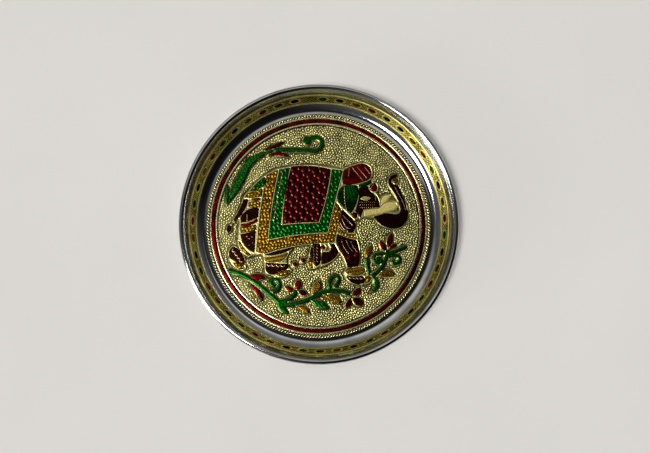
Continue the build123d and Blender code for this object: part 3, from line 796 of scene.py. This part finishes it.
# Tones painted into the gilt: highest on pebble tops and along gilt lines as a painted highlight,
# lowest in the hollows, saddles and at the foot of the raised ground as a painted shade
foilPaintedLight = Look(
    edge=0.1, ground=0.55, cell=0.2, gold=0.4, goldWave=0.5, grain=1.0, saddle=0.08, shoulder=0.62,
    hollow=0.0)


# Pebbles lie at random but never closer than a gap
def scatterGrains(reach, gap, tries):
    taken, grains = {}, []
    for attempt in range(tries):
        x, y = chance.uniform(-reach, reach), chance.uniform(-reach, reach)
        if math.hypot(x, y) > reach:
            continue
        column, line = int(x // gap), int(y // gap)
        around = [(column + i, line + j) for i, j in neighbours]
        near = [taken[key] for key in around if key in taken]
        if all(math.hypot(x - otherX, y - otherY) >= gap for otherX, otherY in near):
            taken[(column, line)] = (x, y)
            grains.append((x, y))
    return np.array(grains)


def makeFoil():
    tones = foilPaintedLight
    groundLoops = topLoops("medallion_sheet", groundLevel)
    groundLoops = [softenLoop(loop, foil.outlineStep) for loop in groundLoops]
    groundTree = nearTree(denseLoops(groundLoops))
    cellTree = nearTree(denseLoops(spiltLoops))
    edge = (fieldRadius + foil.underRope) * circle(foil.edgeSteps)
    shelf = groundLevel - foil.edgeDrop
    placed, heights, reliefs = [], [], []

    def lay(spots, height, tone):
        placed.append(spots)
        heights.append(np.broadcast_to(height, len(spots)))
        reliefs.append(np.broadcast_to(tone, len(spots)))

    lay(edge, fieldLevel, tones.edge)
    for loop in groundLoops:
        lay(loop, shelf, tones.ground)
    for loop in drawnLoops:
        lay(loop, groundLevel, tones.cell)
    fixed = list(placed)

    # the slope and the foot of the raised ground, darker as a painted shade
    for offset, share, footShade in foil.foot:
        foot = np.concatenate([loop + outward(loop) * offset for loop in groundLoops])
        inField = np.hypot(foot[:, 0], foot[:, 1]) < fieldRadius - foil.footToEdge
        foot = foot[~insideLoops(foot, groundLoops) & inField]
        foot = foot[distances(groundTree, foot) > foil.footKept * offset]
        lay(foot, fieldLevel + (shelf - fieldLevel) * share, footShade)

    # the rounded gilt lines, lighter along their crest as a painted highlight, and what is bare between
    # them
    bareGround = hexPlaces((-fieldRadius, -fieldRadius), (fieldRadius, fieldRadius), foil.barePitch)
    bareGround = bareGround[insideLoops(bareGround, groundLoops)]
    bareGround = bareGround[distances(cellTree, bareGround) > foil.bareToCell]
    gold = [loop + outward(loop) * offset for loop in spiltLoops for offset in foil.lineOffsets]
    gold = np.concatenate(gold + [bareGround])
    covered = insideLoops(gold, drawnLoops) | insideLoops(gold, spiltLoops)
    gold = gold[insideLoops(gold, groundLoops) & ~covered]
    reach, margin = distances(cellTree, gold), distances(groundTree, gold)
    firsts = {}    # one place in each small square
    for index in np.where((reach > foil.goldToCell) & (margin > foil.goldToMargin))[0]:
        x, y = gold[index] / foil.goldGap
        firsts.setdefault((round(x), round(y)), index)
    chosen = list(firsts.values())
    gold, reach, margin = gold[chosen], reach[chosen], margin[chosen]
    wave = np.sin(math.pi * np.clip(reach / foil.lineReach, 0, 1))
    wave = wave * smoothStep(margin, *foil.marginSpan)
    drop = foil.edgeDrop * (1 - smoothStep(margin, 0, foil.marginSpan[1]))
    lay(gold, groundLevel - drop + foil.lineHeight * wave, tones.gold + tones.goldWave * wave)

    # the pebbles of the field, their tops lightest as a painted highlight
    grains = scatterGrains(fieldRadius - foil.grainToEdge, foil.grainGap, foil.grainTries)
    grains = grains[~insideLoops(grains, groundLoops)]
    grains = grains[distances(groundTree, grains) > foil.grainClear]
    firstGrain = sum(len(part) for part in placed)
    sizes = np.array([chance.uniform(*foil.grainSizes) for grain in grains])
    lay(grains, fieldLevel + foil.grainHeight * sizes, tones.grain)

    spots, faces, origin = triangulate(np.concatenate(placed), fixed, triangles.everywhere)
    isGrain = origin >= firstGrain
    top = np.column_stack((spots, np.concatenate(heights)[origin])).tolist()
    relief = np.concatenate(reliefs)[origin].tolist()

    def addPoint(x, y, height, tone):
        top.append([x, y, height])
        relief.append(tone)
        return len(top) - 1

    # each pebble is rounded: low places between three pebbles, a saddle between two, both darker as a
    # painted shade
    middles, shoulders = {}, {}

    def middle(a, b):
        key = (min(a, b), max(a, b))
        if key not in middles:
            (ax, ay, az), (bx, by, bz) = top[a], top[b]
            height, tone = (az + bz) / 2, (relief[a] + relief[b]) / 2
            if isGrain[a] and isGrain[b]:
                height, tone = fieldLevel + foil.saddle * (height - fieldLevel), tones.saddle
            middles[key] = addPoint((ax + bx) / 2, (ay + by) / 2, height, tone)
        return middles[key]

    def shoulder(peak, low):
        if (peak, low) not in shoulders:
            (x, y, z), (lowX, lowY, lowZ) = top[peak], top[low]
            share = foil.shoulderReach
            shoulders[(peak, low)] = addPoint(x + (lowX - x) * share, y + (lowY - y) * share,
                                              lowZ + (z - lowZ) * foil.shoulder, tones.shoulder)
        return shoulders[(peak, low)]

    hasGrain = [isGrain[list(face)].any() for face in faces]
    grainFaces = [face for face, grainy in zip(faces, hasGrain) if grainy]
    for face in grainFaces:
        for a, b in pairsAround(face):
            middle(a, b)
    allFaces = []
    for face in grainFaces:
        x, y, height = np.mean([top[index] for index in face], axis=0)
        height = fieldLevel if isGrain[list(face)].all() else (height + fieldLevel) / 2
        hub = addPoint(x, y, height, tones.hollow)
        for corner, peak in enumerate(face):
            ahead, behind = middle(peak, face[(corner + 1) % 3]), middle(face[corner - 1], peak)
            if isGrain[peak]:
                near, mid, far = (shoulder(peak, low) for low in (ahead, hub, behind))
                allFaces += [(peak, near, mid), (peak, mid, far),
                             (near, ahead, hub, mid), (mid, hub, behind, far)]
            else:
                allFaces += [(peak, ahead, hub), (peak, hub, behind)]

    # faces beside the pebbles take in the places added on their edges
    for face in (face for face, grainy in zip(faces, hasGrain) if not grainy):
        outline = []
        for a, b in pairsAround(face):
            outline.append(a)
            if (min(a, b), max(a, b)) in middles:
                outline.append(middle(a, b))
        if len(outline) == 3:
            allFaces.append(face)
            continue
        x, y, height = np.mean([top[index] for index in face], axis=0)
        hub = addPoint(x, y, height, float(np.mean([relief[index] for index in face])))
        allFaces += [(hub, a, b) for a, b in pairsAround(outline)]

    # flat underside and edge
    rim = [int(np.where(origin == index)[0][0]) for index in range(len(edge))]
    under = [addPoint(x, y, sheetFoot, tones.edge) for x, y in edge]
    allFaces += [(b, a, c, d) for (a, b), (c, d) in zip(pairsAround(rim), pairsAround(under))]
    allFaces.append(tuple(reversed(under)))
    return addPiece("medallionFoil", top, allFaces, "gilt", "medallion_sheet", relief)


medallionFoil = makeFoil()
print("medallion foil faces:", len(medallionFoil.data.polygons))


def makeRope():
    start, end = fieldRadius - rope.innerGap, medallionRadius - rope.outerGap
    lines = ((fieldRadius, ringInner), (ringOuter, ropeInner))
    samples = np.concatenate(([start], *(np.linspace(low, high, rope.lineRows) for low, high in lines),
                              np.linspace(ropeInner + rope.lobeStart, end, rope.lobeRows)))
    turns = evenTurns(rope.angleSteps)
    flat = np.full(len(turns), rope.flatTone)
    rows, tones = [], []
    for radius in samples:
        height, tone = fieldLevel, flat
        for low, high in lines:
            if low <= radius <= high:
                share = (2 * radius - low - high) / (high - low)
                swell = math.sqrt(max(0, 1 - share**4))
                height = fieldLevel + rope.lineHeight * swell
                tone = flat + rope.lineTone * swell
        if radius > ropeInner:
            share = (2 * radius - ropeInner - medallionRadius) / (medallionRadius - ropeInner)
            swell = math.sqrt(max(0, 1 - share * share))
            lobe = np.abs(np.sin(turns * rope.lobes / 2 + math.pi * rope.slant * share / 2))
            raised = rope.valley + (1 - rope.valley) * lobe ** rope.lobeCurve
            height = fieldLevel + (ropeTop - fieldLevel) * swell * raised
            # painted highlight on the lobes, painted shade in the gaps between them
            tone = rope.lobeTone * lobe ** rope.lobeToneCurve * swell + rope.valleyTone
        rows.append(ringRow(radius, turns, height))
        tones.append(tone)
    for radius in (end, start):
        rows.append(ringRow(radius, turns, sheetFoot))
        tones.append(flat)
    faces = gridFaces(len(rows), len(turns), closedRows=True)
    addPiece("ropeBorder", np.concatenate(rows), faces, "borderGilt", "medallion_sheet",
             np.concatenate(tones))


def makeRing():
    rise = highest("border_ring_enamel") - fieldLevel
    shares = np.linspace(-1, 1, ring.rows)
    section = [((ringInner + ringOuter) / 2 + share * (ringOuter - ringInner) / 2,
                fieldLevel + rise * math.sqrt(max(0, 1 - share**4)) + ring.lift) for share in shares]
    section += [(radius, fieldLevel - ring.lift) for radius in (ringOuter, ringInner)]
    # painted highlight: the ring is lighter along its crest
    tones = [ring.tone + ring.swellTone * (1 - abs(share)) for share in shares] + [0, 0]
    relief = np.repeat(tones, ring.segments)
    faces = gridFaces(len(section), ring.segments, closedRows=True)
    addPiece("borderRing", revolve(section, evenTurns(ring.segments)), faces, "ruby",
             "border_ring_enamel", relief, np.zeros(len(relief)))


makeRope()
makeRing()
print("rope border and red ring done")


# Spun steel plate: flat floor, round corner, slanted wall, edge rolled outward into a bead
plate = Look(
    thickness=0.8, floorRadius=92.1, corner=8.0, wallAngle=58, footBack=1.1, bead=2.4, beadTurn=292,
    segments=720, floorStart=0.5, floorFlat=1, floorRows=5, cornerParts=14, wallRows=(0.4, 0.7),
    beadParts=30, innerBeadParts=26)
wallLean = math.radians(plate.wallAngle)
wallAlong = np.array((math.cos(wallLean), math.sin(wallLean)))
wallOut = np.array((math.sin(wallLean), -math.cos(wallLean)))
cornerCentre = np.array((plate.floorRadius, plate.thickness + plate.corner))
wallFoot = cornerCentre + plate.corner * wallOut - wallAlong * plate.footBack
wallLength = (plateRadius - plate.bead - wallFoot[0] - plate.bead * wallOut[0]) / wallAlong[0]
beadCentre = wallFoot + wallAlong * wallLength + wallOut * plate.bead


def onWall(along, inward):
    return wallFoot + wallAlong * along - wallOut * inward


def arc(centre, radius, start, end, parts):
    turns = np.radians(np.linspace(start, end, parts + 1))
    return [tuple(centre + radius * np.array((math.cos(turn), math.sin(turn)))) for turn in turns]


def makePlate():
    lean, thick, corner, bead = (plate[key] for key in ("wallAngle", "thickness", "corner", "bead"))
    beadStart, beadEnd = 90 + lean, 90 + lean - plate.beadTurn
    floor = np.linspace(plate.floorStart, plate.floorRadius - plate.floorFlat, plate.floorRows)
    section = [(radius, thick) for radius in floor]
    section += arc(cornerCentre, corner, -90, lean - 90, plate.cornerParts)
    section += [tuple(onWall(share * wallLength, 0)) for share in plate.wallRows]
    section += arc(beadCentre, bead, beadStart, beadEnd, plate.beadParts)
    section += arc(beadCentre, bead - thick, beadEnd, beadStart, plate.innerBeadParts)
    section += [tuple(onWall(share * wallLength, -thick)) for share in reversed(plate.wallRows)]
    section += arc(cornerCentre, corner + thick, lean - 90, -90, plate.cornerParts)
    section += [(radius, 0.0) for radius in reversed(floor)]
    count, rows = plate.segments, len(section)
    faces = gridFaces(rows, count)
    faces.append(tuple(range(count)))
    faces.append(tuple(reversed(range((rows - 1) * count, rows * count))))
    addPiece("steelPlate", revolve(section, evenTurns(count)), faces, "steel", "steel_plate")


makePlate()
print("plate done, wall length", round(wallLength, 2))


# Embossed gilt strip round the wall: a raised line along both edges, lattice between the dashes.
# The frame is a low ring round each dash; its places and widths are shares of the dash.
band = Look(
    inset=0.2, clearance=0.15, width=8.9, thickness=0.25, seam=94.5, seamGap=0.3, angleSteps=2200,
    edgeRows=9, middleRows=20, edgeWidth=1.6, edgeHeight=0.3, edgeBeads=470, beadShare=0.05,
    latticeHeight=0.2, latticePitch=2.3, latticeFade=0.5, frameHeight=0.25, framePlace=1.25,
    frameWidth=0.16, frameReach=1.5)
# Tones painted into the strip's gilt: lighter on the edge lines, lattice ridges and dash frames as a
# painted highlight
bandPaintedLight = Look(
    under=0.3, edge=0.25, edgeSwell=0.7, lattice=0.05, latticeSwell=0.65, frame=0.3, frameSwell=0.45)
dash = Look(
    count=46, length=6.6, width=3.2, rise=0.5, seamAngle=12.8, along=band.inset + band.width / 2,
    rings=6, around=28, sunk=0.02, pinch=0.35, bow=2.2, tone=0.3, swellTone=0.35,
    colours=("blue", "green", "red", "amber"),
    finishes=Look(blue="sapphire", green="emerald", red="ruby", amber="amber"))
dashTurns = [band.seam + dash.seamAngle / 2 + index * (360 - dash.seamAngle) / (dash.count - 1)
             for index in range(dash.count)]


# Height and tone along one row of the strip, from its distance to the nearer edge; the tone is a
# painted highlight on what is raised
def bandRow(turns, along, edge, wallRadius, arcGap):
    tones = bandPaintedLight
    if edge < band.edgeWidth:
        beads = 0.5 + 0.5 * np.cos(turns * band.edgeBeads)
        swell = math.sqrt(max(0, 1 - (2 * edge / band.edgeWidth - 1) ** 2))
        height = band.edgeHeight * swell * (1 - band.beadShare + band.beadShare * beads)
        return height, tones.edge + swell * (tones.edgeSwell + band.beadShare * beads)
    around = turns * wallRadius
    cross = np.abs(np.sin(math.pi * (around + along) / band.latticePitch)
                   * np.sin(math.pi * (around - along) / band.latticePitch))
    height = band.latticeHeight * cross * min(1, (edge - band.edgeWidth) / band.latticeFade)
    tone = tones.lattice + tones.latticeSwell * cross
    reach = np.hypot(arcGap / (dash.length / 2), (along - dash.along) / (dash.width / 2))
    frameShare = np.exp(-((reach - band.framePlace) / band.frameWidth) ** 2)
    framed = reach < band.frameReach
    return (np.where(framed, band.frameHeight * frameShare, height),
            np.where(framed, tones.frame + tones.frameSwell * frameShare, tone))


def makeBand():
    wallRadius = onWall(dash.along, 0)[0]
    gapTurn = band.seamGap / wallRadius
    turns = math.radians(band.seam) + np.linspace(gapTurn / 2, fullTurn - gapTurn / 2, band.angleSteps)
    edgeRows = np.linspace(0, band.edgeWidth, band.edgeRows)
    middleRows = np.linspace(band.edgeWidth, band.width - band.edgeWidth, band.middleRows)
    alongs = band.inset + np.concatenate((edgeRows[:-1], middleRows, band.width - edgeRows[-2::-1]))
    offset = turns[:, None] - np.radians(np.array(dashTurns))[None, :]
    offset = (offset + math.pi) % fullTurn - math.pi
    arcGap = np.abs(offset).min(axis=1) * wallRadius
    rows, tones = [], []
    for along in alongs:
        edge = min(along - alongs[0], alongs[-1] - along)
        height, tone = bandRow(turns, along, edge, wallRadius, arcGap)
        radius, level = onWall(along, band.clearance + band.thickness)
        rows.append(ringRow(radius - wallOut[0] * height, turns, level - wallOut[1] * height))
        tones.append(tone)
    for along in (alongs[-1], alongs[0]):
        radius, level = onWall(along, band.clearance)
        rows.append(ringRow(radius, turns, level))
        tones.append(np.full(len(turns), bandPaintedLight.under))
    count = len(turns)
    faces = gridFaces(len(rows), count, closedRows=True, closedColumns=False)
    faces.append(tuple(row * count for row in reversed(range(len(rows)))))
    faces.append(tuple(row * count + count - 1 for row in range(len(rows))))
    addPiece("rimBandFoil", np.concatenate(rows), faces, "bandGilt", "rim_band", np.concatenate(tones))


# A dash is a pointed lens of lacquer, laid along the strip
def makeDashes(colour):
    places, faces, relief = [], [], []
    rings, around, middle = dash.rings, dash.around, dash.along
    lift = band.clearance + band.thickness - dash.sunk
    wallRadius = onWall(middle, lift)[0]
    for index, turn in enumerate(dashTurns):
        if dash.colours[index % len(dash.colours)] != colour:
            continue
        start = len(places)
        for level in range(rings + 1):
            share = 1 - level / rings
            bow = dash.rise * math.sqrt(max(0, 1 - share ** dash.bow))
            for step in range(around if level < rings else 1):
                angle = fullTurn * step / around
                length = share * math.cos(angle) * dash.length / 2
                pinch = 1 - dash.pinch * math.cos(angle) ** 4
                width = share * math.sin(angle) * pinch * dash.width / 2
                radius, height = onWall(middle + width, lift + bow)
                place = math.radians(turn) + length / wallRadius
                places.append((radius * math.cos(place), radius * math.sin(place), height))
                # painted highlight: each dash lighter toward its middle
                relief.append(dash.tone + dash.swellTone * (1 - share))
        faces += shifted(gridFaces(rings, around), start)
        hub = start + rings * around
        faces += [(hub, b, a) for a, b in pairsAround(list(range(hub - around, hub)))]
        faces.append(tuple(range(start, start + around)))
    addPiece("band" + colour.capitalize(), places, faces, dash.finishes[colour],
             "band_" + colour + "_enamel", relief, np.zeros(len(relief)))


makeBand()
for colour in dash.colours:
    makeDashes(colour)
print("rim band and dashes done")


# Plain pale floor
floorLook = Look(size=12.0, pale=(226, 223, 218), shade=(218, 215, 210), cloudScale=6, roughness=0.8)


def makeFloor():
    material, tree, shader = newMaterial("paleFloor")
    cloud = noise(tree, objectPlace(tree), floorLook.cloudScale)
    feed(tree, shader, {
        "Base Color": mixColour(tree, cloud, srgb(*floorLook.shade), srgb(*floorLook.pale)),
        "Roughness": floorLook.roughness})
    half = floorLook.size / 2
    corners = [(-half, -half, 0), (half, -half, 0), (half, half, 0), (-half, half, 0)]
    mesh = bpy.data.meshes.new("floor")
    mesh.from_pydata(corners, [], [(0, 1, 2, 3)])
    mesh.materials.append(material)
    floor = addObject("floor", mesh)


# Studio: a soft key from the left, one dim softbox overhead, and a dim room with soft glows:
# behind and above, behind, at the left, along the horizon, and a small bright one low at the left.
# A glow starts at its edge and is full nearer its middle, both as cosines.
studio = Look(
    keyTurn=212, keyRise=62, keyAngle=24, keyStrength=2.7, boxPlace=(0.19, 0.25, 0.9),
    boxSize=(0.2, 0.22), boxPower=0.06, room=(0.006, 0.006, 0.007, 1),
    glows=(
        Look(turn=106, rise=40, edge=0.7, full=0.95, colour=(0.98, 0.98, 0.96, 1)),
        Look(turn=80, rise=0, edge=0.0, full=0.95, colour=(0.2, 0.2, 0.2, 1)),
        Look(turn=205, rise=0, edge=0.0, full=0.95, colour=(0.13, 0.135, 0.14, 1)),
        Look(turn=0, rise=-90, edge=-0.3, full=-0.02, colour=(0.25, 0.25, 0.25, 1)),
        Look(turn=208, rise=2, edge=0.955, full=1.0, colour=(12, 12, 11.6, 1))))


def towards(turn, rise):
    turn, rise = math.radians(turn), math.radians(rise)
    return Vector((math.cos(turn) * math.cos(rise), math.sin(turn) * math.cos(rise), math.sin(rise)))


# A lamp at a place, turned to the middle of the plate
def addLamp(name, kind, place, **settings):
    light = bpy.data.lights.new(name, kind)
    adjust(light, **settings)
    addObject(name, light, place).rotation_euler = Vector(place).to_track_quat("Z", "Y").to_euler()


def makeStudio():
    scene = bpy.context.scene
    scene.view_settings.view_transform = "Standard"
    addLamp("softKey", "SUN", towards(studio.keyTurn, studio.keyRise),
            energy=studio.keyStrength, angle=math.radians(studio.keyAngle))
    width, depth = studio.boxSize
    addLamp("farSoftbox", "AREA", studio.boxPlace, shape="RECTANGLE", size=width, size_y=depth,
            energy=studio.boxPower)
    world = bpy.data.worlds.new("room")
    scene.world = world
    world.use_nodes = True
    tree = world.node_tree
    direction = addNode(tree, "ShaderNodeTexCoord").outputs["Generated"]
    colour = studio.room
    for glow in studio.glows:
        values = {0: direction, 1: towards(glow.turn, glow.rise)}
        dot = addNode(tree, "ShaderNodeVectorMath", values, operation="DOT_PRODUCT").outputs["Value"]
        colour = mixColour(tree, remap(tree, dot, (glow.edge, glow.full)), colour, glow.colour)
    feed(tree, tree.nodes["Background"], {"Color": colour})


# Camera looking straight down from a little left of and below the middle; lens shift frames the plate
camera = Look(
    place=(-0.00699, -0.03628, 0.3979), lens=27.13, sensor=36, shift=(0.0232, 0.0682), farEnd=60)


def makeCamera():
    data = bpy.data.cameras.new("camera")
    adjust(data, lens=camera.lens, sensor_width=camera.sensor, clip_end=camera.farEnd)
    data.shift_x, data.shift_y = camera.shift
    bpy.context.scene.camera = addObject("camera", data, camera.place)


makeFloor()
makeStudio()
makeCamera()
print("floor, light and camera done")
